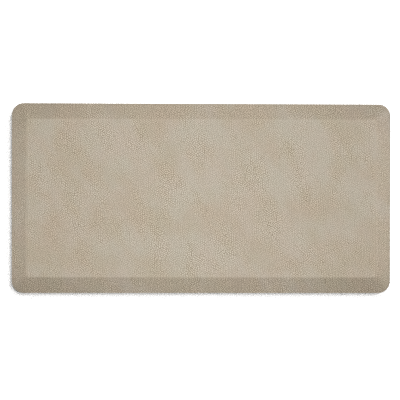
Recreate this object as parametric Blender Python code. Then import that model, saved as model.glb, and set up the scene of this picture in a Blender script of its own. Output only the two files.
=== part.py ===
"""Anti-fatigue standing mat: an embossed skin over a framed foam core on a non-slip base.

The mat lies flat with its length along X, its depth along Y and its standing surface facing +Z.
The underside of the grip ribs is at z = 0 and the outline is centred on the origin.
Every layer is glued to the next; the glue line is the gap GLUE between neighbouring pieces.
"""
import math

import bmesh
import bpy

# overall size, metres
LENGTH = 1.2192
DEPTH = 0.6096
THICKNESS = 0.01905
CORNER_RADIUS = 0.038
CORNER_STEPS = 8  # straight steps round each corner, even so that one vertex lies on the mitre line

# stack, metres
GLUE = 0.0003
GRIP_HEIGHT = 0.0005
BASE_THICKNESS = 0.0015
SKIN_THICKNESS = 0.0011
CLOTH_THICKNESS = 0.0005
COMFORT_THICKNESS = 0.0044

# skin profile, metres; insets are measured inward from the outline of the base
SKIN_INSET = 0.0006
LIP_SHOULDER = 0.0009  # width of the rounded shoulder on top of the edge lip
LIP_ROUNDING = ((0.0, 0.55), (0.3, 0.12))  # points of its curve: shares in from the lip, down from the bevel
LIP_HEIGHT = 0.0016  # from the underside of the skin to the start of the bevel
BEVEL_INSET = 0.0540
CREASE_RADIUS = 0.0120
FLAT_CORNER_RADIUS = 0.0050  # corner radius of the flat standing surface

# where the inner layers stop short of the edge, insets in metres
CLOTH_INSET = 0.0036
RAMP_INSET = 0.0054
FRAME_INSET = 0.0555  # inner wall of the ramp strips

# grip ribs under the base, metres
RIB_PITCH = 0.0254
RIB_WIDTH = 0.0090
RIB_TAPER = 0.0006  # how much each rib flank narrows towards the floor
RIB_SWING = 0.0120  # sideways reach of the zigzag
RIB_LEG = 0.0508  # length of one leg of the zigzag along the depth
RIB_LEGS = 11
RIB_COUNT = 45
BORDER_INSET = 0.0040  # outer edge of the border rib that runs round the underside
BORDER_WIDTH = 0.0090

RIB_EMBED = BASE_THICKNESS / 3  # how far each rib reaches up into the sheet
BASE_TOP = GRIP_HEIGHT + BASE_THICKNESS
CORE_BOTTOM = BASE_TOP + GLUE
SKIN_UNDER = THICKNESS - SKIN_THICKNESS
CLOTH_TOP = SKIN_UNDER - GLUE
CLOTH_UNDER = CLOTH_TOP - CLOTH_THICKNESS
COMFORT_TOP = CLOTH_UNDER - GLUE
COMFORT_BOTTOM = COMFORT_TOP - COMFORT_THICKNESS
CORE_TOP = COMFORT_BOTTOM - GLUE

BEVEL_START = SKIN_INSET + LIP_SHOULDER
BEVEL_FOOT = CORE_BOTTOM + LIP_HEIGHT
BEVEL_ANGLE = math.atan2(THICKNESS - BEVEL_FOOT, BEVEL_INSET - BEVEL_START)


def material(name, colour, roughness, metallic=0.0):
    mat = bpy.data.materials.new(name)
    mat.use_nodes = True
    shader = mat.node_tree.nodes["Principled BSDF"]
    shader.inputs["Base Color"].default_value = (*colour, 1.0)
    shader.inputs["Roughness"].default_value = roughness
    shader.inputs["Metallic"].default_value = metallic
    mat.diffuse_color = (*colour, 1.0)
    return mat


def outline(inset, radius):
    """Points of a rounded rectangle, counter-clockwise, starting on the mitre line of the +X +Y corner."""
    half_x, half_y = LENGTH / 2 - inset, DEPTH / 2 - inset
    points = []
    for corner, (sx, sy) in enumerate(((1, 1), (-1, 1), (-1, -1), (1, -1))):
        cx, cy = sx * (half_x - radius), sy * (half_y - radius)
        for step in range(CORNER_STEPS + 1):
            angle = math.pi / 2 * (corner + step / CORNER_STEPS)
            points.append((cx + radius * math.cos(angle), cy + radius * math.sin(angle)))
    half = CORNER_STEPS // 2
    return points[half:] + points[:half]


def ring_radius(inset):
    """Corner radius that shrinks evenly from the outer edge to the corner of the flat surface."""
    share = min(max((inset - SKIN_INSET) / (BEVEL_INSET - SKIN_INSET), 0.0), 1.0)
    return (1 - share) * (CORNER_RADIUS - SKIN_INSET) + share * FLAT_CORNER_RADIUS


def bevel_height(inset, drop):
    """Height of the bevel plane at an inset, lowered by a drop measured square to the plane."""
    rise = (inset - BEVEL_START) * math.tan(BEVEL_ANGLE)
    return BEVEL_FOOT + rise - drop / math.cos(BEVEL_ANGLE)


def crease(drop):
    """Profile points of the rounded crease between bevel and flat, for a surface lowered by a drop."""
    centre_inset = BEVEL_INSET + CREASE_RADIUS * math.tan(BEVEL_ANGLE / 2)
    centre_z = THICKNESS - CREASE_RADIUS
    radius = CREASE_RADIUS - drop
    return [
        (centre_inset - radius * math.sin(angle), centre_z + radius * math.cos(angle))
        for angle in (BEVEL_ANGLE, BEVEL_ANGLE / 2, 0.0)
    ]


def finish(name, bm, mat, parent=None, sharp_angle=0.6):
    """Turns a bmesh into a named object shaded smooth, with hard creases kept sharp."""
    bmesh.ops.recalc_face_normals(bm, faces=bm.faces)
    for face in bm.faces:
        face.smooth = True
    for edge in bm.edges:
        if len(edge.link_faces) == 2 and edge.calc_face_angle(0.0) > sharp_angle:
            edge.smooth = False
    mesh = bpy.data.meshes.new(name)
    bm.to_mesh(mesh)
    bm.free()
    mesh.materials.append(mat)
    ob = bpy.data.objects.new(name, mesh)
    bpy.context.scene.collection.objects.link(ob)
    if parent is not None:
        ob.parent = parent
    return ob


def lofted(name, profile, mat, parent=None):
    """Solid made of stacked rounded rectangles; profile is a list of (inset, z), closed by two flat caps."""
    bm = bmesh.new()
    rings = []
    for inset, z in profile:
        rings.append([bm.verts.new((x, y, z)) for x, y in outline(inset, ring_radius(inset))])
    count = len(rings[0])
    for low, high in zip(rings[:-1], rings[1:]):
        for i in range(count):
            j = (i + 1) % count
            bm.faces.new((low[i], low[j], high[j], high[i]))
    bm.faces.new(list(reversed(rings[0])))
    bm.faces.new(rings[-1])
    return finish(name, bm, mat, parent)


def ramp_strip(name, side, profile, mat, parent):
    """One wedge strip of the frame, from mitre to mitre; side 0 is +Y, then counter-clockwise."""
    span = CORNER_STEPS + 1
    direction = ((-1, 0), (0, -1), (1, 0), (0, 1))[side]
    back_off = GLUE / math.sqrt(2)
    bm = bmesh.new()
    columns = []
    for step in range(span + 1):
        shift = back_off if step == 0 else -back_off if step == span else 0.0
        column = []
        for inset, z in profile:
            loop = outline(inset, ring_radius(inset))
            x, y = loop[(side * span + step) % len(loop)]
            column.append(bm.verts.new((x + direction[0] * shift, y + direction[1] * shift, z)))
        columns.append(column)
    count = len(profile)
    for here, there in zip(columns[:-1], columns[1:]):
        for i in range(count):
            j = (i + 1) % count
            bm.faces.new((here[i], here[j], there[j], there[i]))
    bm.faces.new(columns[0])
    bm.faces.new(list(reversed(columns[-1])))
    return finish(name, bm, mat, parent)


def zigzag_rib(bm, centre_x):
    """One closed zigzag rib across the depth, tapering towards the floor."""
    rows = []
    for k in range(RIB_LEGS + 1):
        y = (k - RIB_LEGS / 2) * RIB_LEG
        x = centre_x + RIB_SWING * (0.5 if k % 2 else -0.5)
        top, low = RIB_WIDTH / 2, RIB_WIDTH / 2 - RIB_TAPER
        rows.append(
            [
                bm.verts.new((x - low, y, 0.0)),
                bm.verts.new((x + low, y, 0.0)),
                bm.verts.new((x + top, y, GRIP_HEIGHT)),
                bm.verts.new((x + top, y, GRIP_HEIGHT + RIB_EMBED)),
                bm.verts.new((x - top, y, GRIP_HEIGHT + RIB_EMBED)),
                bm.verts.new((x - top, y, GRIP_HEIGHT)),
            ]
        )
    for here, there in zip(rows[:-1], rows[1:]):
        for i in range(6):
            j = (i + 1) % 6
            bm.faces.new((here[i], here[j], there[j], there[i]))
    bm.faces.new(list(reversed(rows[0])))
    bm.faces.new(rows[-1])


def border_rib(bm):
    """One closed ring that keeps the edge of the mat down on the floor."""
    outer, inner = BORDER_INSET, BORDER_INSET + BORDER_WIDTH
    section = [
        (outer + RIB_TAPER, 0.0),
        (outer, GRIP_HEIGHT),
        (outer, GRIP_HEIGHT + RIB_EMBED),
        (inner, GRIP_HEIGHT + RIB_EMBED),
        (inner, GRIP_HEIGHT),
        (inner - RIB_TAPER, 0.0),
    ]
    rings = [[bm.verts.new((x, y, z)) for x, y in outline(d, ring_radius(d))] for d, z in section]
    count = len(rings[0])
    for here, there in zip(rings, rings[1:] + rings[:1]):
        for i in range(count):
            j = (i + 1) % count
            bm.faces.new((here[i], here[j], there[j], there[i]))


def base_with_ribs(mat):
    """Base sheet with a small rounded edge and all the grip ribs joined to its underside."""
    edge = BASE_THICKNESS / 4
    sheet = lofted(
        "base_sheet",
        [(edge, GRIP_HEIGHT), (0.0, GRIP_HEIGHT + edge), (0.0, BASE_TOP - edge), (edge, BASE_TOP)],
        mat,
    )
    bm = bmesh.new()
    for k in range(RIB_COUNT):
        zigzag_rib(bm, (k - (RIB_COUNT - 1) / 2) * RIB_PITCH)
    border_rib(bm)
    ribs = finish("grip_rib_shapes", bm, mat)
    ribs.hide_render = True
    ribs.display_type = "WIRE"
    union = sheet.modifiers.new("grip_ribs", "BOOLEAN")
    union.operation = "UNION"
    union.solver = "EXACT"
    union.object = ribs
    return sheet


for old in list(bpy.data.objects):
    bpy.data.objects.remove(old, do_unlink=True)

skin_mat = material("leather_look_skin", (0.49, 0.42, 0.33), 0.55)
cloth_mat = material("backing_cloth", (0.62, 0.58, 0.50), 0.95)
comfort_mat = material("soft_foam", (0.80, 0.76, 0.62), 0.95)
core_mat = material("dense_foam", (0.10, 0.10, 0.11), 0.92)
ramp_mat = material("firm_foam", (0.16, 0.15, 0.15), 0.90)
base_mat = material("grip_rubber", (0.35, 0.30, 0.23), 0.80)

base = base_with_ribs(base_mat)

lofted(
    "support_core",
    [(FRAME_INSET + GLUE, CORE_BOTTOM), (FRAME_INSET + GLUE, CORE_TOP)],
    core_mat,
    base,
)
lofted(
    "comfort_layer",
    [(FRAME_INSET + GLUE, COMFORT_BOTTOM), (FRAME_INSET + GLUE, COMFORT_TOP)],
    comfort_mat,
    base,
)

# the ramp strips carry the bevel below the skin, the cloth and two glue lines
ramp_drop = SKIN_THICKNESS + GLUE + CLOTH_THICKNESS + GLUE
ramp_profile = [
    (RAMP_INSET, CORE_BOTTOM),
    (RAMP_INSET, bevel_height(RAMP_INSET, ramp_drop)),
    *crease(ramp_drop)[:2],
    (FRAME_INSET, COMFORT_TOP),
    (FRAME_INSET, CORE_BOTTOM),
]
for side_index, side_name in enumerate(("ramp_back", "ramp_left", "ramp_front", "ramp_right")):
    ramp_strip(side_name, side_index, ramp_profile, ramp_mat, base)

cloth_drop = SKIN_THICKNESS + GLUE
cloth_low = cloth_drop + CLOTH_THICKNESS
lofted(
    "cover_backing",
    [
        *reversed(crease(cloth_low)),
        (CLOTH_INSET, bevel_height(CLOTH_INSET, cloth_low)),
        (CLOTH_INSET, bevel_height(CLOTH_INSET, cloth_drop)),
        *crease(cloth_drop),
    ],
    cloth_mat,
    base,
)

# the skin turns down at the edge into a short lip that closes on the base
lip_inner = SKIN_INSET + SKIN_THICKNESS
lip_bend = lip_inner + SKIN_THICKNESS / 2
lofted(
    "top_cover",
    [
        *reversed(crease(SKIN_THICKNESS)),
        (lip_bend, bevel_height(lip_bend, SKIN_THICKNESS)),
        (lip_inner, bevel_height(lip_bend, SKIN_THICKNESS) - SKIN_THICKNESS / 3),
        (lip_inner, CORE_BOTTOM),
        (SKIN_INSET, CORE_BOTTOM),
        *((SKIN_INSET + a * LIP_SHOULDER, BEVEL_FOOT - b * LIP_SHOULDER) for a, b in LIP_ROUNDING),
        (BEVEL_START, BEVEL_FOOT),
        *crease(0.0),
    ],
    skin_mat,
    base,
)
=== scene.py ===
"""Looks for the anti-fatigue mat: embossed skin, cloth, foams and base, with camera, lights and floor.

Lengths are in metres. The grain is worked out in millimetres, because its sizes are that small.
"""
import math

import bmesh
import bpy
import numpy as np
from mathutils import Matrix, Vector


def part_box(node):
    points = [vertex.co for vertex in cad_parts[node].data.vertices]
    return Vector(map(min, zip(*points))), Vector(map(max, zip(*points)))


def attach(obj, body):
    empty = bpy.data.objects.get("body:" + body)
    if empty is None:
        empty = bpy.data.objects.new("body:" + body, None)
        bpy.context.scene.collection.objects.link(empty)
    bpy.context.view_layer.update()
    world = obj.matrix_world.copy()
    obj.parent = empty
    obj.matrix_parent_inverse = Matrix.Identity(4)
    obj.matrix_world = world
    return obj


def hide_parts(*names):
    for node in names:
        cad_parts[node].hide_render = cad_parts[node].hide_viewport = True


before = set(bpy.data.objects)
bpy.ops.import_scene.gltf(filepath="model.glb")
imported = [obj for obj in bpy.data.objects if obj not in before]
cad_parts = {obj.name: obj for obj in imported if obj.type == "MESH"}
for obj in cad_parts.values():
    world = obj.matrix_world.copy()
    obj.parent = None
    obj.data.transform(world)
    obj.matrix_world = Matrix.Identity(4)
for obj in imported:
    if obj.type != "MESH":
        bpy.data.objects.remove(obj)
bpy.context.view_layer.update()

MM = 0.001
FAR = 1e9  # more than any distance
BODY = "root"

# ---------------------------------------------------------------- sizes, some taken from the frame
skin_low, skin_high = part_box("top_cover")
core_low, core_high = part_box("support_core")
comfort_low, comfort_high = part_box("comfort_layer")
cloth_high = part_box("cover_backing")[1]
ramp_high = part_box("ramp_back")[1]

HALF_X, HALF_Y = skin_high.x, skin_high.y  # outline of the skin
TOP_Z, LIP_Z = skin_high.z, skin_low.z
SKIN_CORNER = 0.0404  # corner radius of the skin's outline, 3 mm more than that of its solid
FLAT_CORNER = 0.0050  # corner radius of the flat standing surface
GLUE = 0.0003  # glue line between two layers
SKIN_THICKNESS = 0.0011
CLOTH_THICKNESS = cloth_high.z - comfort_high.z - GLUE
LIP_HEIGHT = 0.0016  # from the underside of the lip to the start of the bevel
SHOULDER = 0.0009  # width of the rounding on top of the lip
RAMP_NOSE = HALF_Y - ramp_high.y  # where the wedge strips start, from the skin's outline
RAMP_WALL = 0.0015  # from the crease to the inner wall of the wedge strips
RAMP_ARC_STEPS = 6
CREASE_INSET = HALF_X - core_high.x - RAMP_WALL - GLUE  # from the skin's outline to the crease
CREASE_ROUND = 0.0120
BEVEL_FOOT = LIP_Z + LIP_HEIGHT
BEVEL_ANGLE = math.atan2(TOP_Z - BEVEL_FOOT, CREASE_INSET - SHOULDER)
SHARP_ANGLE = 0.7  # radians; edges that turn more are hard
FOAM_GRID = 0.012
FACE_WAVE = 0.00006  # unevenness of the faces of the foam sheets
SIDE_WAVE = 0.00012  # and of their cut sides
RAMP_WAVE = 0.00005  # and of the wedge strips
NAP = 0.00004  # and of the cloth
KNIT_PITCH = 0.0016  # from one row of loops to the next

# ---------------------------------------------------------------- shape of the grain
# The skin's grid is a triangular lattice in which every third point is the top of a pebble of the grain.
# The numbers of cells along and across the mat both divide by four, for the coarser underside.
BEVEL_CELLS_X, MIDDLE_CELLS_X = 16, 340
BEVEL_CELLS_Y, MIDDLE_CELLS_Y = 18, 172
CELL = 2 * (HALF_X - CREASE_INSET) / MIDDLE_CELLS_X
WARP = 0.0048  # slow sideways drift of the lattice, which makes the pebbles uneven in size
WARP_SIZE = 0.019  # half the wavelength of that drift
JITTER = 0.0028  # sideways scatter of the lattice's points
CREASE_CALM = 2.5 * CELL  # the sideways moves fade out over this distance at the crease of the mat
EDGE_CALM = 3 * CELL  # and over this one at its edge
RELIEF = 0.00041  # height of a bold pebble above its crease
SWELL = 0.00006  # height of the broad waves in the skin

# depth is 0 on the highest pebble and 1 in a full crease
MEAN_DEPTH = 0.35  # depth at which the grain crosses the mean surface
TOP_DEPTH = 0.15  # unevenness of the pebble tops
CREASE_SPREAD = 0.15  # unevenness of the creases
VEIN_DEPTH = 0.14  # how much deeper a wrinkle is
BOLD_SPREAD = 0.50  # how much shallower the grain is in the faintest patches
CREASE_STRETCH = 0.2  # and where the skin folds over the crease of the mat
EDGE_FADE, EDGE_FADE_WIDTH = 0.7, 0.006  # and along the very edge
EDGE_FLAT_WIDTH = 0.004  # the relief fades out over this distance at the edge

PATCH_LEAN = 0.32  # the patches lean like the wrinkles
LONG_BEVEL_BOLD = 0.30  # how much bolder the grain is on the long bevels
SHORT_BEVEL_BOLD = -0.35  # and on the short ones
WRINKLE_TURN = math.radians(17)
WRINKLE_CELL_MM = (23, 74)  # width and length of the cells that the wrinkles run round
WRINKLE_HALF_WIDTH_MM = 2.2

# ---------------------------------------------------------------- colours, linear
SKIN_PALE = (0.728, 0.652, 0.541)  # the coolest dye
SKIN_TAN = (0.691, 0.596, 0.467)  # the warmest dye
DYE_RANGE = (-0.9, 1.1)  # warmth at which the dye is pale and at which it is tan
BLUSH_GREEN = (0.983, 1.009, 1.002)  # slow drift of the dye between greenish and pinkish
BLUSH_PINK = (1.017, 0.991, 0.998)
SKIN_CREASE = (0.240, 0.190, 0.125)
FINE_CELL = 0.0031  # width of the cells of the faint grain on the pebbles
FLOOR_PALE = (0.51, 0.51, 0.51)
FLOOR_DULL = (0.49, 0.49, 0.49)

# warmth added to that of the patches
VEIN_DYE = 0.25  # along a wrinkle
BEVEL_DYE = 0.5  # on the bevels
SHORT_BEVEL_DYE = 0.35  # on the short bevels besides
CORNER_DYE = 0.6  # on the bevels towards the corners of the mat

# tone is the brightness of the skin's colour, about 1; its bevel and edge terms are painted shade
TONE_SPREAD = 0.02  # differences from pebble to pebble
BOLD_TONE = 0.185  # bold patches are paler, which makes up for their dark creases
BEVEL_SHADE = 0.105  # painted shade: darkening of the long bevels, as if they caught less light than the flat
END_SHADE = 0.036  # painted shade: darkening of the short bevels
EDGE_SHADE, EDGE_SHADE_WIDTH = 0.14, 0.009  # painted shade: darkening along the very edge, where the lip rolls down
CORNER_TONE = 0.11  # darkening of the bevels towards the corners of the mat
CORNER_START_X, CORNER_START_Y = 0.35, 0.55  # where that starts, as shares of the half sizes
CREASE_BLEND = 0.003  # half the width over which flat and bevel blend
MITRE_BLEND = 0.012  # half the width over which two bevels blend
LOOKS_BELOW = {"border": 0.5, "depth": 0.3, "bold": 0.5, "warm": 0.0, "tone_and_shade": 1.0}  # lip and underside

# ---------------------------------------------------------------- studio
FLOOR_HALF = 60.0
FLOOR_GAP = 0.0002  # the floor lies just under the grip ribs
BACKDROP = 1.1  # strength of the white world for the camera
FILL = 0.10  # and for everything else
SOFTBOX_HEIGHT = 1.7
SOFTBOX_SIZE = 0.8
SOFTBOX_POWER = 10.1
SOFTBOX_COLOUR = (0.94, 1.0, 0.98)
# azimuth, elevation, strength, softness of the distant lamps
KEY_LIGHT, KEY_COLOUR = (29, 36, 1.75, 40), (1.0, 0.96, 0.945)
SIDE_LIGHT, SIDE_COLOUR = (180, 38, 0.70, 20), (1.0, 0.90, 0.84)
FLOOR_LIGHTS = (  # for the floor only; together they make an even contact shadow
    (-8, 13.5, 4.4, 8), (30, 11.2, 7.1, 7), (60, 11.2, 7.1, 7), (98, 13.5, 4.4, 8), (45, 25, 3.1, 16),
)
CAMERA_PLACE = (-0.0160, -0.0040, 1.35)
CAMERA_TILT = (-0.0009, -0.0079, 0.0022)
CAMERA_LENS = 37.63
FILTER_WIDTH = 1.1  # a sharp lens


# ---------------------------------------------------------------- noise on numpy arrays
def lattice(ix, iy, seed):
    """A fixed pseudo-random number from 0 to 1 for each pair of whole numbers."""
    h = ix.astype(np.int64) * 374761393 + iy.astype(np.int64) * 668265263 + seed * 1442695041
    h = (h ^ (h >> 13)) & 0xFFFFFFFF
    h = (h * 1274126177) & 0xFFFFFFFF
    h = (h ^ (h >> 16)) & 0xFFFFFFFF
    h = (h * 2246822519) & 0xFFFFFFFF
    return ((h ^ (h >> 13)) & 0xFFFFFF) / float(0x1000000)


def noise(x, y, seed):
    """Smooth noise from -1 to 1 with a wavelength of about 2 units."""
    ix, iy = np.floor(x), np.floor(y)
    fx, fy = x - ix, y - iy
    ux, uy = fx * fx * fx * (fx * (fx * 6 - 15) + 10), fy * fy * fy * (fy * (fy * 6 - 15) + 10)
    total = 0
    for dx, wx in ((0, 1 - ux), (1, ux)):
        for dy, wy in ((0, 1 - uy), (1, uy)):
            angle = 2 * math.pi * lattice(ix + dx, iy + dy, seed)
            total = total + wx * wy * (np.cos(angle) * (fx - dx) + np.sin(angle) * (fy - dy))
    return 1.6 * total


def fbm(x, y, seed, octaves=3):
    total, share, size = 0, 1.0, 0.0
    for k in range(octaves):
        total = total + share * noise(x * 2**k, y * 2**k, seed + 31 * k)
        size += share
        share *= 0.5
    return total / size


def smooth(low, high, value):
    t = np.clip((value - low) / (high - low), 0, 1)
    return t * t * (3 - 2 * t)


def cell_border(x, y, seed, jitter):
    """Distance to the nearest border between random cells one unit wide."""
    ix, iy = np.floor(x), np.floor(y)
    near = np.full(x.shape, FAR)
    nx, ny = np.zeros(x.shape), np.zeros(x.shape)
    seeds = []
    for dx in (-2, -1, 0, 1, 2):
        for dy in (-2, -1, 0, 1, 2):
            cx, cy = ix + dx, iy + dy
            px = cx + 0.5 + jitter * (lattice(cx, cy, seed) - 0.5)
            py = cy + 0.5 + jitter * (lattice(cx, cy, seed + 7919) - 0.5)
            d = (px - x) ** 2 + (py - y) ** 2
            seeds.append((px, py))
            closer = d < near
            near = np.where(closer, d, near)
            nx, ny = np.where(closer, px, nx), np.where(closer, py, ny)
    border = np.full(x.shape, FAR)
    for px, py in seeds:
        vx, vy = px - nx, py - ny
        length = np.sqrt(vx * vx + vy * vy)
        other = length > 1e-6
        safe = np.where(other, length, 1)
        d = ((px + nx) / 2 - x) * vx / safe + ((py + ny) / 2 - y) * vy / safe
        border = np.minimum(border, np.where(other, d, FAR))
    return border


# ---------------------------------------------------------------- the shape of the skin
def corner_radius(inset):
    share = np.clip(inset / CREASE_INSET, 0, 1)
    return (1 - share) * SKIN_CORNER + share * FLAT_CORNER


def inset_at(x, y):
    """Inset of the rounded rectangle through each point, whose corner radius shrinks inward."""
    ax, ay = np.abs(x), np.abs(y)
    low, high = np.zeros(x.shape), np.full(x.shape, min(HALF_X, HALF_Y))
    for _ in range(40):
        middle = (low + high) / 2
        radius = corner_radius(middle)
        qx, qy = ax - (HALF_X - middle - radius), ay - (HALF_Y - middle - radius)
        outside = np.hypot(np.maximum(qx, 0), np.maximum(qy, 0)) + np.minimum(np.maximum(qx, qy), 0)
        inside = outside <= radius
        low, high = np.where(inside, middle, low), np.where(inside, high, middle)
    return (low + high) / 2


def surface_height(inset, drop=0.0):
    """Height of the mean surface of the skin, or of one parallel to it at a drop square to it."""
    slope, half_tan = math.tan(BEVEL_ANGLE), math.tan(BEVEL_ANGLE / 2)
    bevel = BEVEL_FOOT + (inset - SHOULDER) * slope - drop / math.cos(BEVEL_ANGLE)
    crease_at = CREASE_INSET + drop * half_tan
    reach = (CREASE_ROUND - drop) * half_tan
    t = np.clip((crease_at + reach - inset) / (2 * reach), 0, 1)
    return np.where(inset > crease_at - reach, TOP_Z - drop - slope * reach * t * t, bevel)


def grain_patches(x, y, bevel, ends):
    """How bold the grain is, from 0 to 1, and how warm the dye is, from about -1 to 1, in broad patches."""
    x, y = x / MM, y / MM
    lean = x + PATCH_LEAN * y
    bold = noise(lean / 75, y / 130, 11) + 0.45 * noise(lean / 24, y / 38, 12)
    warm = 1.4 * noise(lean / 150 + 9, y / 120, 51) + 0.75 * noise(lean / 42, y / 60, 52) + 0.4 * bold
    bold = bold + LONG_BEVEL_BOLD * bevel + (SHORT_BEVEL_BOLD - LONG_BEVEL_BOLD) * ends
    return smooth(-0.7, 0.8, bold), warm + SHORT_BEVEL_DYE * ends


def wrinkles(x, y):
    """Long wrinkles that come and go, from the back left to the front right, from 0 to 1."""
    x, y = x / MM, y / MM
    along = y * math.cos(WRINKLE_TURN) - x * math.sin(WRINKLE_TURN)
    across = x * math.cos(WRINKLE_TURN) + y * math.sin(WRINKLE_TURN)
    across = across + 7.0 * noise(x / 24, y / 30, 31) + 2.4 * noise(x / 8, y / 8, 32)
    width, length = WRINKLE_CELL_MM
    edge = width * cell_border(across / width, along / length, 33, 0.95)
    shown = smooth(0.02, 0.42, fbm(x / 44, y / 58, 34, 2))
    return shown * np.exp(-((edge / WRINKLE_HALF_WIDTH_MM) ** 2))


def grid_lines(half, start_inset, bevel_cells, middle_cells):
    """Coordinates of grid lines across the mat, with one on each crease."""
    bevel = np.linspace(half - start_inset, half - CREASE_INSET, bevel_cells + 1)
    flat = np.linspace(half - CREASE_INSET, 0, middle_cells // 2 + 1)[1:]
    side = np.concatenate([bevel, flat])
    return np.concatenate([-side[:-1], side[::-1]])


def round_corners(x, y, half_x, half_y, radius):
    """Bends the square corners of a grid into round ones."""
    u, v = np.abs(x) - (half_x - radius), np.abs(y) - (half_y - radius)
    corner = (u > 0) & (v > 0)
    reach, length = np.maximum(u, v), np.hypot(u, v)
    scale = np.where(corner, reach / np.where(length > 0, length, 1), 1)
    bent_x = np.sign(x) * (half_x - radius + u * scale)
    bent_y = np.sign(y) * (half_y - radius + v * scale)
    return np.where(corner, bent_x, x), np.where(corner, bent_y, y)


def grid_loop(nx, ny):
    """Indices of a grid's border, counter-clockwise from its low corner."""
    ids = np.arange(nx * ny).reshape(nx, ny)
    return np.concatenate([ids[:-1, 0], ids[-1, :-1], ids[:0:-1, -1], ids[0, :0:-1]])


def grid_quads(nx, ny):
    ids = np.arange(nx * ny).reshape(nx, ny)
    return np.stack([ids[:-1, :-1], ids[1:, :-1], ids[1:, 1:], ids[:-1, 1:]], -1).reshape(-1, 4)


def lattice_triangles(nx, ny):
    """Triangles of a grid whose odd rows are shifted half a cell towards +X."""
    ids = np.arange(nx * ny).reshape(nx, ny)
    a, b, c, d = ids[:-1, :-1], ids[1:, :-1], ids[1:, 1:], ids[:-1, 1:]
    odd = (np.arange(ny - 1) % 2 == 1)[None, :]
    first = np.stack([a, b, np.where(odd, c, d)], -1)
    second = np.stack([np.where(odd, a, b), c, d], -1)
    return np.concatenate([first.reshape(-1, 3), second.reshape(-1, 3)])


def ring_faces(outer, inner):
    """Quads between two closed loops of the same length."""
    return np.stack([outer, np.roll(outer, -1), np.roll(inner, -1), inner], -1)


def halving_faces(fine, coarse):
    """Downward triangles between a closed loop and one inside it with every second point."""
    left, middle, right = fine[0::2], fine[1::2], np.roll(fine, -2)[0::2]
    after = np.roll(coarse, -1)
    triangles = [(coarse, middle, left), (coarse, after, middle), (after, right, middle)]
    return np.concatenate([np.stack(corners, -1) for corners in triangles])


def new_piece(name, points, faces, material):
    """A closed mesh from an array of points and a list of face arrays, riding on the mat."""
    mesh = bpy.data.meshes.new(name)
    mesh.from_pydata(points.tolist(), [], [f for block in faces for f in block.tolist()])
    mesh.validate()
    shape = bmesh.new()
    shape.from_mesh(mesh)
    bmesh.ops.recalc_face_normals(shape, faces=shape.faces)
    for face in shape.faces:
        face.smooth = True
    for edge in shape.edges:
        edge.smooth = edge.calc_face_angle(0.0) < SHARP_ANGLE
    shape.to_mesh(mesh)
    shape.free()
    mesh.materials.append(material)
    ob = bpy.data.objects.new(name, mesh)
    bpy.context.scene.collection.objects.link(ob)
    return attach(ob, BODY)


def add_attribute(ob, name, values):
    attribute = ob.data.attributes.new(name, "FLOAT", "POINT")
    attribute.data.foreach_set("value", np.asarray(values, np.float32))


def ring_at(x, y, inset, to_inset):
    """The points of a closed loop at one inset, moved to another."""
    old, new = corner_radius(inset), corner_radius(to_inset)
    ax, ay = np.abs(x), np.abs(y)
    old_x, old_y = HALF_X - inset - old, HALF_Y - inset - old
    new_x, new_y = HALF_X - to_inset - new, HALF_Y - to_inset - new
    ux, uy = np.maximum(ax - old_x, 0), np.maximum(ay - old_y, 0)
    length = np.hypot(ux, uy)
    moved_x = np.where(ux > 0, new_x + new * ux / length, ax * new_x / old_x)
    moved_y = np.where(uy > 0, new_y + new * uy / length, ay * new_y / old_y)
    return np.sign(x) * moved_x, np.sign(y) * moved_y


class MeshParts:
    """Collects points and faces of one mesh."""

    def __init__(self):
        self.points, self.faces, self.count = [], [], 0

    def add(self, x, y, z):
        """Adds points and returns their indices."""
        self.points.append(np.stack([x.ravel(), y.ravel(), np.broadcast_to(z, x.shape).ravel()], -1))
        first = self.count
        self.count += x.size
        return np.arange(first, self.count)

    def build(self, name, material):
        return new_piece(name, np.concatenate(self.points), self.faces, material)


# ---------------------------------------------------------------- materials
def node(tree, kind, inputs=None, **settings):
    """Adds a shader node; an input is given as a value or as the socket that feeds it."""
    made = tree.nodes.new(kind)
    for key, value in settings.items():
        setattr(made, key, value)
    for key, value in (inputs or {}).items():
        if isinstance(value, bpy.types.NodeSocket):
            tree.links.new(value, made.inputs[key])
        else:
            made.inputs[key].default_value = value
    return made


def calc(tree, operation, first, second):
    return node(tree, "ShaderNodeMath", {0: first, 1: second}, operation=operation).outputs[0]


def ramp_value(tree, value, low, high, to_low=0.0, to_high=1.0):
    """Smoothly maps low..high onto to_low..to_high."""
    sockets = {"Value": value, "From Min": low, "From Max": high, "To Min": to_low, "To Max": to_high}
    return node(tree, "ShaderNodeMapRange", sockets, interpolation_type="SMOOTHSTEP").outputs["Result"]


def blend_colours(tree, factor, first, second, blend="MIX"):
    mix = tree.nodes.new("ShaderNodeMix")
    mix.data_type, mix.blend_type, mix.clamp_factor = "RGBA", blend, True
    for socket, value in ((mix.inputs[0], factor), (mix.inputs[6], first), (mix.inputs[7], second)):
        if isinstance(value, bpy.types.NodeSocket):
            tree.links.new(value, socket)
        elif isinstance(value, float):
            socket.default_value = value
        else:
            socket.default_value = (*value, 1.0)
    return mix.outputs[2]


def place(tree, scale=(1, 1, 1), turn=0.0):
    """Object coordinates, stretched and turned about Z."""
    coords = tree.nodes.new("ShaderNodeTexCoord").outputs["Object"]
    sockets = {"Vector": coords, "Rotation": (0, 0, turn), "Scale": scale}
    return node(tree, "ShaderNodeMapping", sockets).outputs["Vector"]


def noise_at(tree, vector, wavelength, detail=2.0, roughness=0.5):
    sockets = {"Vector": vector, "Scale": 1 / wavelength, "Detail": detail, "Roughness": roughness}
    return node(tree, "ShaderNodeTexNoise", sockets).outputs["Fac"]


def cells_at(tree, vector, width, feature="DISTANCE_TO_EDGE", randomness=1.0):
    sockets = {"Vector": vector, "Scale": 1 / width, "Randomness": randomness}
    return node(tree, "ShaderNodeTexVoronoi", sockets, feature=feature).outputs["Distance"]


def attribute(tree, name):
    return node(tree, "ShaderNodeAttribute", attribute_name=name).outputs["Fac"]


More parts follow.
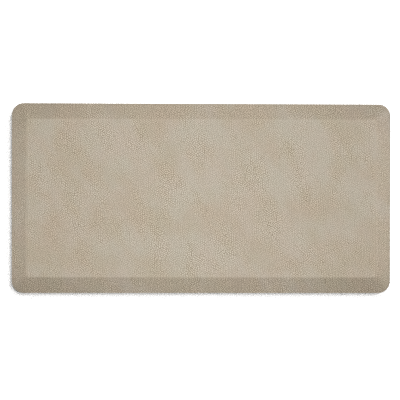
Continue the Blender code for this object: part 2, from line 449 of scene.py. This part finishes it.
def bump(tree, shader, layers):
    """Chains bump nodes; each layer is (height from 0 to 1, depth in metres)."""
    normal = None
    for height, depth in layers:
        sockets = {"Height": height, "Distance": depth, "Strength": 1.0}
        if normal is not None:
            sockets["Normal"] = normal
        normal = node(tree, "ShaderNodeBump", sockets).outputs["Normal"]
    tree.links.new(normal, shader.inputs["Normal"])


def new_material(name, specular=0.5):
    mat = bpy.data.materials.new(name)
    mat.use_nodes = True
    shader = mat.node_tree.nodes["Principled BSDF"]
    shader.inputs["Specular IOR Level"].default_value = specular
    return mat, mat.node_tree, shader


def skin_material():
    """Embossed leather-look skin: pale and browner patches of dye, dark creases, a satin sheen, painted
    shade on the bevels and along the edge.
    """
    mat, tree, shader = new_material("embossed_skin", 0.30)
    border, depth, bold = (attribute(tree, name) for name in ("border", "depth", "bold"))
    warm, tone_and_shade = attribute(tree, "warm"), attribute(tree, "tone_and_shade")
    vector = place(tree)
    line = calc(tree, "MULTIPLY", ramp_value(tree, border, 0.45, 1.0), depth)
    fine = cells_at(tree, vector, FINE_CELL)
    fine = ramp_value(tree, fine, 0.0, 0.22)
    pores = noise_at(tree, vector, 0.0011, 2.0)

    colour = blend_colours(tree, ramp_value(tree, warm, *DYE_RANGE), SKIN_PALE, SKIN_TAN)
    drift = ramp_value(tree, noise_at(tree, vector, 0.10, 3.0, 0.6), 0.3, 0.7)
    blush = blend_colours(tree, drift, BLUSH_GREEN, BLUSH_PINK)
    colour = blend_colours(tree, 1.0, colour, blush, "MULTIPLY")
    fine_dark = calc(tree, "SUBTRACT", 1.0, fine)
    fine_dark = calc(tree, "MULTIPLY", fine_dark, ramp_value(tree, bold, 0, 1, 0.10, 0.28))
    dark = calc(tree, "MAXIMUM", line, fine_dark)
    colour = blend_colours(tree, dark, colour, SKIN_CREASE)
    # the tone scales the dye and carries the painted shade of the bevels and of the edge
    toned = node(tree, "ShaderNodeVectorMath", {0: colour, "Scale": tone_and_shade}, operation="SCALE")
    tree.links.new(toned.outputs["Vector"], shader.inputs["Base Color"])
    tree.links.new(ramp_value(tree, dark, 0, 1, 0.42, 0.70), shader.inputs["Roughness"])
    rounding = ramp_value(tree, border, 0.55, 1.0, 1.0, 0.0)
    bump(tree, shader, [(rounding, 0.00012), (fine, 0.00008), (pores, 0.00004)])
    return mat


def cloth_material():
    """Undyed knitted backing cloth: rows of loops, with a brushed nap."""
    mat, tree, shader = new_material("knit_cloth", 0.2)
    vector = place(tree)
    waves = []
    scale = math.pi / 10 / KNIT_PITCH  # waves of scale 1 are pi / 10 metres apart
    for direction, distortion in (("X", 0.6), ("Y", 0.8)):
        sockets = {"Vector": vector, "Scale": scale, "Distortion": distortion}
        sockets["Detail Scale"] = 3.0
        waves.append(node(tree, "ShaderNodeTexWave", sockets, bands_direction=direction).outputs["Fac"])
    nap = noise_at(tree, vector, 0.0035, 5.0, 0.7)
    cloud = noise_at(tree, vector, 0.05, 3.0)
    loops = calc(tree, "MULTIPLY", *waves)
    colour = blend_colours(tree, loops, (0.50, 0.46, 0.39), (0.68, 0.64, 0.56))
    colour = blend_colours(tree, calc(tree, "MULTIPLY", nap, 0.6), colour, (0.60, 0.55, 0.46))
    colour = blend_colours(tree, ramp_value(tree, cloud, 0.35, 0.7, 0.0, 0.4), colour, (0.55, 0.50, 0.41))
    tree.links.new(colour, shader.inputs["Base Color"])
    tree.links.new(ramp_value(tree, nap, 0.2, 0.8, 0.86, 1.0), shader.inputs["Roughness"])
    shader.inputs["Sheen Weight"].default_value = 0.25
    shader.inputs["Sheen Roughness"].default_value = 0.5
    bump(tree, shader, [(loops, 0.00025), (nap, 0.0003)])
    return mat


def foam_material(name, light, dark, cell, roughness, depth):
    """Foam: pores of uneven size in a matt body, with slow clouds of colour."""
    mat, tree, shader = new_material(name, 0.25)
    vector = place(tree)
    big = ramp_value(tree, cells_at(tree, vector, 2.6 * cell, "F1"), 0.10, 0.46)
    small = ramp_value(tree, cells_at(tree, vector, cell, "F1"), 0.12, 0.55)
    cloud = noise_at(tree, vector, 0.045, 4.0, 0.6)
    pits = calc(tree, "MULTIPLY", small, ramp_value(tree, big, 0, 1, 0.55, 1.0))
    colour = blend_colours(tree, pits, dark, light)
    colour = blend_colours(tree, ramp_value(tree, cloud, 0.3, 0.7, 0.0, 0.35), colour, dark)
    tree.links.new(colour, shader.inputs["Base Color"])
    tree.links.new(ramp_value(tree, pits, 0, 1, 1.0, roughness), shader.inputs["Roughness"])
    bump(tree, shader, [(pits, depth)])
    return mat


def rubber_material():
    """Moulded rubber: fine spark-eroded grain, faint mould bloom and scuffs."""
    mat, tree, shader = new_material("grip_rubber_sheet", 0.35)
    vector = place(tree)
    grit = noise_at(tree, vector, 0.0022, 3.0, 0.65)
    dots = ramp_value(tree, cells_at(tree, vector, 0.0048, "F1", 0.9), 0.15, 0.55)
    bloom = noise_at(tree, vector, 0.09, 4.0, 0.6)
    scuff = noise_at(tree, place(tree, (1, 7, 1), 0.4), 0.02, 3.0)
    colour = blend_colours(tree, grit, (0.300, 0.252, 0.196), (0.390, 0.335, 0.265))
    colour = blend_colours(tree, ramp_value(tree, bloom, 0.4, 0.7, 0.0, 0.35), colour, (0.46, 0.41, 0.34))
    colour = blend_colours(tree, ramp_value(tree, scuff, 0.62, 0.8, 0.0, 0.3), colour, (0.50, 0.45, 0.38))
    tree.links.new(colour, shader.inputs["Base Color"])
    tree.links.new(ramp_value(tree, grit, 0.3, 0.7, 0.70, 0.88), shader.inputs["Roughness"])
    bump(tree, shader, [(grit, 0.00012), (dots, 0.00010)])
    return mat


def floor_material():
    """Plain pale studio floor."""
    mat, tree, shader = new_material("studio_floor", 0.0)
    mottle = noise_at(tree, place(tree), 0.5, 2.0)
    colour = blend_colours(tree, mottle, FLOOR_PALE, FLOOR_DULL)
    tree.links.new(colour, shader.inputs["Base Color"])
    shader.inputs["Roughness"].default_value = 0.95
    return mat


# ---------------------------------------------------------------- pieces
def skin_lattice():
    """Points of the skin's top seen from above, and their lattice indices.

    The last two arrays go from 0 to 1: away from the crease of the mat, and away from its edge as well.
    """
    xs = grid_lines(HALF_X, SHOULDER, BEVEL_CELLS_X, MIDDLE_CELLS_X)
    ys = grid_lines(HALF_Y, SHOULDER, BEVEL_CELLS_Y, MIDDLE_CELLS_Y)
    square_x, square_y = np.meshgrid(xs, ys, indexing="ij")
    x, y = round_corners(
        square_x, square_y, HALF_X - SHOULDER, HALF_Y - SHOULDER, corner_radius(SHOULDER)
    )
    i, j = np.meshgrid(np.arange(len(xs)), np.arange(len(ys)), indexing="ij")
    inset = inset_at(x, y)
    # no sideways moves on the crease of the mat or on its edge
    off_crease = smooth(0, CREASE_CALM, np.abs(inset - CREASE_INSET))
    free = off_crease * smooth(0, EDGE_CALM, inset - SHOULDER)
    # odd rows are shifted half a cell from the even ones
    sway_x = 0.25 * CELL * np.where(j % 2, 1, -1)
    sway_x = sway_x + WARP * noise(x / WARP_SIZE, y / WARP_SIZE, 21) + JITTER * (lattice(i, j, 22) - 0.5)
    sway_y = WARP * noise(x / WARP_SIZE, y / WARP_SIZE, 23) + JITTER * (lattice(i, j, 24) - 0.5)
    return x + free * sway_x, y + free * sway_y, i, j, off_crease, free


def skin_looks(x, y, i, j, inset, off_crease, top_of_pebble):
    """For each point of the skin's top, its height above the mean surface and what the material reads."""
    bevel = smooth(CREASE_INSET + CREASE_BLEND, CREASE_INSET - CREASE_BLEND, inset)
    past_mitre = (HALF_Y - np.abs(y)) - (HALF_X - np.abs(x))
    ends = bevel * smooth(-MITRE_BLEND, MITRE_BLEND, past_mitre)
    corner = smooth(CORNER_START_X, 1, np.abs(x) / HALF_X) * smooth(CORNER_START_Y, 1, np.abs(y) / HALF_Y)
    corner = corner * bevel
    bold, warm = grain_patches(x, y, bevel, ends)
    vein = wrinkles(x, y)
    warm = warm + VEIN_DYE * vein + BEVEL_DYE * bevel + CORNER_DYE * corner

    chance = lattice(i, j, 25)
    depth = np.where(top_of_pebble, TOP_DEPTH * chance, 1 - CREASE_SPREAD * chance)
    depth = np.clip(depth + VEIN_DEPTH * vein, 0, 1.2) * (1 - BOLD_SPREAD + BOLD_SPREAD * bold)
    depth = depth * (1 - CREASE_STRETCH * (1 - off_crease))
    depth = depth * (1 - EDGE_FADE * (1 - smooth(0, EDGE_FADE_WIDTH, inset)))

    tone_and_shade = 1 + TONE_SPREAD * (lattice(i, j, 26) - 0.5) + BOLD_TONE * (bold - 0.5)
    # painted shade: the bevels are darkened below the brightness of the flat
    tone_and_shade = tone_and_shade - BEVEL_SHADE * (bevel - ends) - END_SHADE * ends
    # the edge term is painted shade where the lip rolls down
    tone_and_shade = tone_and_shade - EDGE_SHADE * smooth(EDGE_SHADE_WIDTH, 0, inset) - CORNER_TONE * corner

    relief = RELIEF * (MEAN_DEPTH - depth) + SWELL * fbm(x / 0.12, y / 0.09, 41, 2)
    relief = relief * smooth(0, EDGE_FLAT_WIDTH, inset)
    border = np.where(top_of_pebble, 0, 1)
    return relief, {"border": border, "depth": depth, "bold": bold, "warm": warm, "tone_and_shade": tone_and_shade}


def close_skin(parts, rim, x, y, cells_x, cells_y):
    """Adds the rounded lip and the underside, which has one point for every fourth one of the rim."""
    wall = SKIN_THICKNESS

    def ring(ring_inset, z, every=1):
        return parts.add(*ring_at(x[::every], y[::every], SHOULDER, ring_inset), z)

    def under(at):
        return float(surface_height(np.array(at), wall))

    lip = [
        rim,
        ring(0.3 * SHOULDER, BEVEL_FOOT - 0.12 * SHOULDER),
        ring(0, BEVEL_FOOT - 0.55 * SHOULDER),
        ring(0, LIP_Z),
        ring(wall, LIP_Z),
        ring(wall, under(1.5 * wall) - wall / 3),
        ring(1.5 * wall, under(1.5 * wall)),
    ]
    for before, after in zip(lip, lip[1:]):
        parts.faces.append(ring_faces(after, before))
    half_loop = ring(4 * wall, under(4 * wall), 2)
    parts.faces.append(halving_faces(lip[-1], half_loop))
    reach = CREASE_ROUND * math.tan(BEVEL_ANGLE / 2)
    slope_loops = [ring(at, under(at), 4) for at in (9 * wall, CREASE_INSET - reach, CREASE_INSET)]
    parts.faces.append(halving_faces(half_loop, slope_loops[0]))
    flat_inset = CREASE_INSET + 1.2 * reach
    flat_x, flat_y = ring_at(x[::4], y[::4], SHOULDER, flat_inset)
    slope_loops.append(parts.add(flat_x, flat_y, under(flat_inset)))
    for before, after in zip(slope_loops, slope_loops[1:]):
        parts.faces.append(ring_faces(after, before))

    # flat middle of the underside, whose border is the last loop
    under_ids = np.empty((cells_x + 1, cells_y + 1), int)
    under_ids.ravel()[grid_loop(cells_x + 1, cells_y + 1)] = slope_loops[-1]
    fill_x, fill_y = np.meshgrid(flat_x[1:cells_x], flat_y[cells_x + 1:cells_x + cells_y], indexing="ij")
    under_ids[1:-1, 1:-1] = parts.add(fill_x, fill_y, under(flat_inset)).reshape(fill_x.shape)
    quads = grid_quads(cells_x + 1, cells_y + 1)
    parts.faces.append(under_ids.ravel()[quads][:, ::-1])


def harden_edges(ob, chosen):
    """Marks the edges between two chosen points as hard, besides those that already are."""
    ends = np.empty(2 * len(ob.data.edges), np.int32)
    ob.data.edges.foreach_get("vertices", ends)
    ends = ends.reshape(-1, 2)
    marks = ob.data.attributes.get("sharp_edge") or ob.data.attributes.new("sharp_edge", "BOOLEAN", "EDGE")
    hard = np.empty(len(ends), bool)
    marks.data.foreach_get("value", hard)
    marks.data.foreach_set("value", hard | (chosen[ends[:, 0]] & chosen[ends[:, 1]]))


def cover_skin(material):
    """The embossed skin: pebbled on top, rounded lip at the edge, coarser underside, all closed."""
    x, y, i, j, off_crease, free = skin_lattice()
    nx, ny = x.shape
    top_of_pebble = (i - (j - j % 2) // 2 - j) % 3 == 0
    inset = inset_at(x, y)
    relief, looks = skin_looks(x, y, i, j, inset, off_crease, top_of_pebble)

    parts = MeshParts()
    top = parts.add(x, y, surface_height(inset) + relief)
    parts.faces.append(top[lattice_triangles(nx, ny)])
    border = grid_loop(nx, ny)
    close_skin(parts, top[border], x.ravel()[border], y.ravel()[border], (nx - 1) // 4, (ny - 1) // 4)

    skin = parts.build("cover_skin", material)
    for name, values in looks.items():
        filled = np.full(parts.count, LOOKS_BELOW[name])
        filled[top] = values.ravel()
        add_attribute(skin, name, filled)
    # the lines between pebbles are hard creases
    between = np.zeros(parts.count, bool)
    between[top] = (~top_of_pebble & (free > 0.2)).ravel()
    harden_edges(skin, between)
    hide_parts("top_cover")
    return skin


def closed_sheet(parts, x, y, top, under, wall_rows=None):
    """Adds a closed sheet with the same grid on both faces; wall_rows are (inward shift, z) on the side."""
    nx, ny = x.shape
    upper, lower = parts.add(x, y, top), parts.add(x, y, under)
    quads, border = grid_quads(nx, ny), grid_loop(nx, ny)
    parts.faces += [upper[quads], lower[quads][:, ::-1]]
    bx, by = x.ravel()[border], y.ravel()[border]
    length = np.hypot(bx, by)
    loops = [upper[border]]
    for shift, z in wall_rows or ():
        loops.append(parts.add(bx * (1 - shift / length), by * (1 - shift / length), z))
    loops.append(lower[border])
    for before, after in zip(loops, loops[1:]):
        parts.faces.append(ring_faces(after, before))


def knit_backing(material):
    """The knitted cloth bonded under the skin, following its bevels and creases."""
    half_x, half_y = cloth_high.x, cloth_high.y
    start = HALF_X - half_x
    xs = grid_lines(HALF_X, start, 8, 160)
    ys = grid_lines(HALF_Y, start, 8, 72)
    x, y = round_corners(*np.meshgrid(xs, ys, indexing="ij"), half_x, half_y, corner_radius(start))
    inset = inset_at(x, y)
    nap = NAP * noise(x / 0.006, y / 0.006, 61)
    drop = TOP_Z - cloth_high.z
    parts = MeshParts()
    closed_sheet(
        parts, x, y, surface_height(inset, drop) + nap, surface_height(inset, drop + CLOTH_THICKNESS) + nap
    )
    cloth = parts.build("knit_backing", material)
    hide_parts("cover_backing")
    return cloth


def foam_slab(name, low, high, grid, rows, material, seed):
    """A knife-cut foam sheet: faces within a tenth of a millimetre of flat, slightly wavy sides."""
    xs = np.linspace(low.x, high.x, 2 * round(high.x / grid) + 1)
    ys = np.linspace(low.y, high.y, 2 * round(high.y / grid) + 1)
    x, y = round_corners(*np.meshgrid(xs, ys, indexing="ij"), high.x, high.y, FLAT_CORNER)
    dent = FACE_WAVE * (1 + noise(x / 0.03, y / 0.03, seed))
    border = grid_loop(len(xs), len(ys))
    bx, by = x.ravel()[border], y.ravel()[border]
    walls = []
    for k in range(1, rows):
        z = high.z + (low.z - high.z) * k / rows
        wave = 1 + noise((bx + by) / 0.024, (bx - by) / 0.024 + k * 0.35, seed + 5)
        walls.append((SIDE_WAVE * wave, z))
    parts = MeshParts()
    closed_sheet(parts, x, y, high.z - dent, low.z + dent, walls)
    return parts.build(name, material)


def ramp_loop(side, inset):
    """Points of one side of a rounded rectangle, from mitre line to mitre line."""
    long_half, deep_half = (HALF_X, HALF_Y) if side % 2 == 0 else (HALF_Y, HALF_X)
    radius = corner_radius(inset)
    cx, cy = long_half - inset - radius, deep_half - inset - radius
    arc = np.linspace(math.pi / 4, math.pi / 2, RAMP_ARC_STEPS + 1)
    arc_x, arc_y = cx + radius * np.cos(arc), cy + radius * np.sin(arc)
    steps = 2 * round((long_half - CREASE_INSET) / FOAM_GRID)
    straight = np.linspace(cx, -cx, steps + 1)[1:-1]
    x = np.concatenate([arc_x, straight, -arc_x[::-1]])
    y = np.concatenate([arc_y, np.full(straight.shape, cy + radius), arc_y[::-1]])
    turned = {0: (x, y), 1: (-y, x), 2: (-x, -y), 3: (y, -x)}
    return turned[side]


def ramp_foam(name, side, material):
    """A firm foam wedge from mitre to mitre; side 0 is at +Y, then counter-clockwise."""
    low_z = core_low.z
    drop = TOP_Z - comfort_high.z
    wall = CREASE_INSET + RAMP_WALL
    slope = np.linspace(RAMP_NOSE, CREASE_INSET, 7)
    profile = [(RAMP_NOSE, low_z)] + [(d, float(surface_height(d, drop))) for d in slope]
    profile += [(wall, TOP_Z - drop - RAMP_WAVE)]
    profile += [(wall, low_z + (TOP_Z - drop - low_z) * share) for share in (0.66, 0.33, 0.0)]
    profile += [(d, low_z) for d in (0.75 * wall, 0.5 * wall, 0.25 * wall)]
    loops = []
    for inset, z in profile:
        x, y = ramp_loop(side, inset)
        loops.append(np.stack([x, y, np.full(x.shape, z)], -1))
    points = np.stack(loops)  # profile point, place along the strip, xyz
    count = points.shape[1]
    trim = GLUE / math.sqrt(2)
    along = np.array(((-1, 0), (0, -1), (1, 0), (0, 1))[side])
    points[:, 0, :2] += along * trim
    points[:, -1, :2] -= along * trim
    px, py, pz = points[..., 0], points[..., 1], points[..., 2]
    wave = RAMP_WAVE * noise(px / 0.02 + 3 * pz / MM, py / 0.02, 71 + side)
    points[..., 2] += np.where(pz > low_z + MM, wave, 0)
    ids = np.arange(len(profile) * count).reshape(len(profile), count)
    after = np.roll(ids, -1, 0)
    quads = np.stack([ids[:, :-1], ids[:, 1:], after[:, 1:], after[:, :-1]], -1).reshape(-1, 4)
    faces = [quads, ids[:, 0][None, :], ids[::-1, -1][None, :]]
    return new_piece(name, points.reshape(-1, 3), faces, material)


skin = cover_skin(skin_material())
backing = knit_backing(cloth_material())

comfort = foam_slab(
    "comfort_foam", comfort_low, comfort_high, FOAM_GRID, 3,
    foam_material("comfort_foam_pale", (0.80, 0.75, 0.60), (0.52, 0.46, 0.33), 0.0012, 0.86, 0.0004), 81,
)
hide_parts("comfort_layer")

core = foam_slab(
    "core_foam", core_low, core_high, FOAM_GRID, 5,
    foam_material("core_foam_dark", (0.105, 0.105, 0.115), (0.045, 0.045, 0.050), 0.0009, 0.84, 0.0003), 91,
)
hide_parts("support_core")

firm = foam_material("ramp_foam_grey", (0.185, 0.175, 0.170), (0.085, 0.080, 0.078), 0.0007, 0.82, 0.0002)
for side, name in enumerate(("ramp_back", "ramp_left", "ramp_front", "ramp_right")):
    wedge = ramp_foam(f"{name}_foam", side, firm)
    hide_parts(name)

base_node = bpy.data.objects["base_sheet"]
rubber = rubber_material()
for slot in base_node.material_slots:
    slot.material = rubber


# ---------------------------------------------------------------- floor, lights and camera
def studio_floor():
    half = FLOOR_HALF
    mesh = bpy.data.meshes.new("studio_floor")
    corners = [(-half, -half, 0), (half, -half, 0), (half, half, 0), (-half, half, 0)]
    mesh.from_pydata(corners, [], [(0, 1, 2, 3)])
    mesh.materials.append(floor_material())
    ob = bpy.data.objects.new("studio_floor", mesh)
    bpy.context.scene.collection.objects.link(ob)
    ob.location.z = -FLOOR_GAP
    return ob


def sun(name, azimuth, elevation, strength, softness, colour=(1, 1, 1)):
    """A distant lamp; azimuth is counter-clockwise from +X, and all the angles are in degrees."""
    lamp = bpy.data.lights.new(name, "SUN")
    lamp.energy, lamp.angle, lamp.color = strength, math.radians(softness), colour
    ob = bpy.data.objects.new(name, lamp)
    ob.rotation_euler = (0, math.radians(90 - elevation), math.radians(azimuth))
    bpy.context.scene.collection.objects.link(ob)
    return ob


def softbox(name, height, size, power, colour):
    """A square light over the middle of the mat that faces straight down."""
    lamp = bpy.data.lights.new(name, "AREA")
    lamp.energy, lamp.size, lamp.color = power, size, colour
    ob = bpy.data.objects.new(name, lamp)
    ob.location.z = height
    ob.visible_camera = False
    bpy.context.scene.collection.objects.link(ob)


def studio_world():
    """White to the camera, and a weak even fill for everything else."""
    world = bpy.data.worlds.new("studio")
    world.use_nodes = True
    tree = world.node_tree
    background = tree.nodes["Background"]
    background.inputs["Color"].default_value = (1, 1, 1, 1)
    seen = tree.nodes.new("ShaderNodeLightPath").outputs["Is Camera Ray"]
    sockets = {"Value": seen, "To Min": FILL, "To Max": BACKDROP}
    strength = node(tree, "ShaderNodeMapRange", sockets).outputs["Result"]
    tree.links.new(strength, background.inputs["Strength"])
    world.cycles.sampling_method = "NONE"  # even all round, so it needs no aimed rays
    bpy.context.scene.world = world


floor = studio_floor()
studio_world()
softbox("overhead_softbox", SOFTBOX_HEIGHT, SOFTBOX_SIZE, SOFTBOX_POWER, SOFTBOX_COLOUR)
sun("key_light", *KEY_LIGHT, KEY_COLOUR)
sun("side_light", *SIDE_LIGHT, SIDE_COLOUR)
floor_only = bpy.data.collections.new("floor_only")
floor_only.objects.link(floor)
for settings in FLOOR_LIGHTS:
    floor_light = sun("floor_light", *settings)
    floor_light.light_linking.receiver_collection = floor_only

lens = bpy.data.cameras.new("camera")
lens.lens = CAMERA_LENS
lens.clip_end = 200
camera = bpy.data.objects.new("camera", lens)
camera.location = CAMERA_PLACE
camera.rotation_euler = CAMERA_TILT
bpy.context.scene.collection.objects.link(camera)
bpy.context.scene.camera = camera
bpy.context.scene.view_settings.view_transform = "Standard"
bpy.context.scene.cycles.use_denoising = False  # it would wipe out the fine grain of the skin
bpy.context.scene.cycles.filter_width = FILTER_WIDTH
